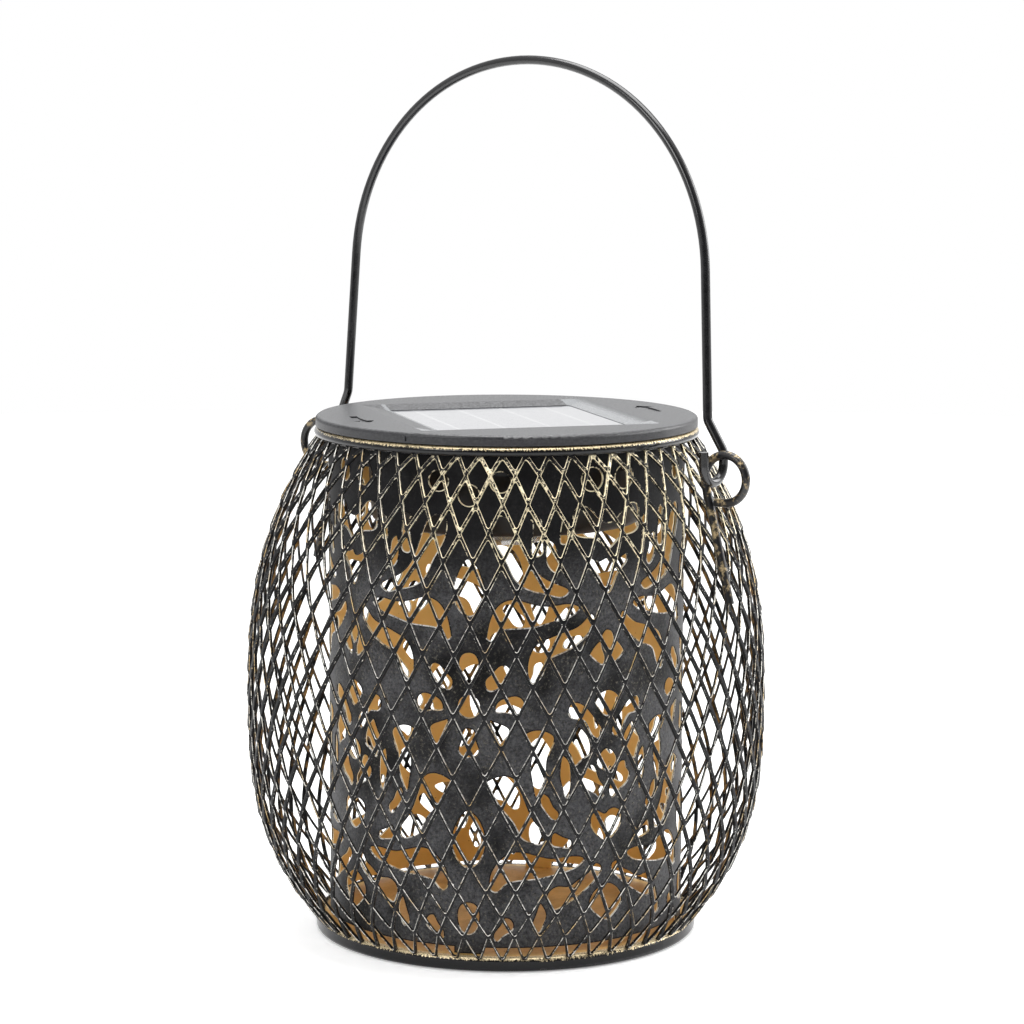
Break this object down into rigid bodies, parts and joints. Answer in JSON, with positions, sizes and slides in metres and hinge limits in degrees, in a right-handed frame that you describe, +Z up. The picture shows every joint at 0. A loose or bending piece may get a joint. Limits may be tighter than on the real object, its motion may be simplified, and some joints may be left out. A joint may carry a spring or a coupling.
{
  "type": "solar garden light",
  "caption": "Solar garden lantern: an expanded-metal barrel round a pierced sleeve, a lift-out solar light module as its lid, and a wire bail.",
  "frame": {"origin": "centre of the face that the lantern stands on", "axes": "+Z up, X along the bail's hinge line"},
  "size_m": [0.16, 0.1508, 0.2523],
  "materials": {
    "antiqued_mesh": "black paint with a dry brush of pale gold on the raised edges",
    "antiqued_ring": "black paint with a dry brush of pale gold",
    "sleeve_paint": "matt black outside with fine gold speckle, gold inside",
    "gold_paint": "satin gold paint",
    "eye_paint": "black paint with rubbed gold",
    "bail_paint": "satin black",
    "lid_plastic": "fine spark texture",
    "panel_face": "gloss epoxy over dark solar cells",
    "tub_plastic": "satin",
    "seal_rubber": "matt",
    "screw_steel": "zinc plated",
    "cell_wrap": "shrink wrap",
    "spring_steel": "nickel plated",
    "board_green": "solder mask",
    "component_black": "moulded epoxy",
    "lamp_epoxy": "warm white lamp",
    "lens_clear": "clear, faceted",
    "lead_red": "insulation",
    "switch_plastic": "satin",
    "slider_plastic": "satin"
  },
  "bodies": {
    "lantern_body": {"mesh_barrel": "antiqued_mesh", "top_collar": "antiqued_ring", "pattern_sleeve": "sleeve_paint", "base_plate": "gold_paint", "base_ring": "antiqued_ring", "ear_right": "eye_paint", "ear_left": "eye_paint"},
    "seal": {"seal_ring": "seal_rubber"},
    "solar_cap": {"cap_cover": "lid_plastic", "solar_panel": "panel_face", "module_housing": "tub_plastic", "housing_screws": "screw_steel", "battery_door": "tub_plastic", "door_screw": "screw_steel", "battery": "cell_wrap", "battery_spring": "spring_steel", "battery_contact": "spring_steel", "circuit_board": "board_green", "board_components": "component_black", "led": "lamp_epoxy", "led_lens": "lens_clear", "panel_leads": "lead_red", "battery_leads": "lead_red", "switch_body": "switch_plastic"},
    "switch_knob": {"switch_slider": "slider_plastic"},
    "bail": {"bail_handle": "bail_paint"}
  },
  "joints": [
    {"name": "cap_lift", "type": "slide", "parent": "lantern_body", "child": "seal", "axis": [0, 0, 1], "range_m": [0, 0.045]},
    {"name": "cap_twist", "type": "hinge", "parent": "seal", "child": "solar_cap", "pos_m": [0, 0, 0.147], "axis": [0, 0, 1], "range_deg": [-30, 0]},
    {"name": "switch_slide", "type": "slide", "parent": "solar_cap", "child": "switch_knob", "axis": [1, 0, 0], "range_m": [0, 0.0032]},
    {"name": "bail_swing", "type": "hinge", "parent": "lantern_body", "child": "bail", "pos_m": [0, 0.004, 0.1419], "axis": [1, 0, 0], "range_deg": [-110, 110]}
  ]
}
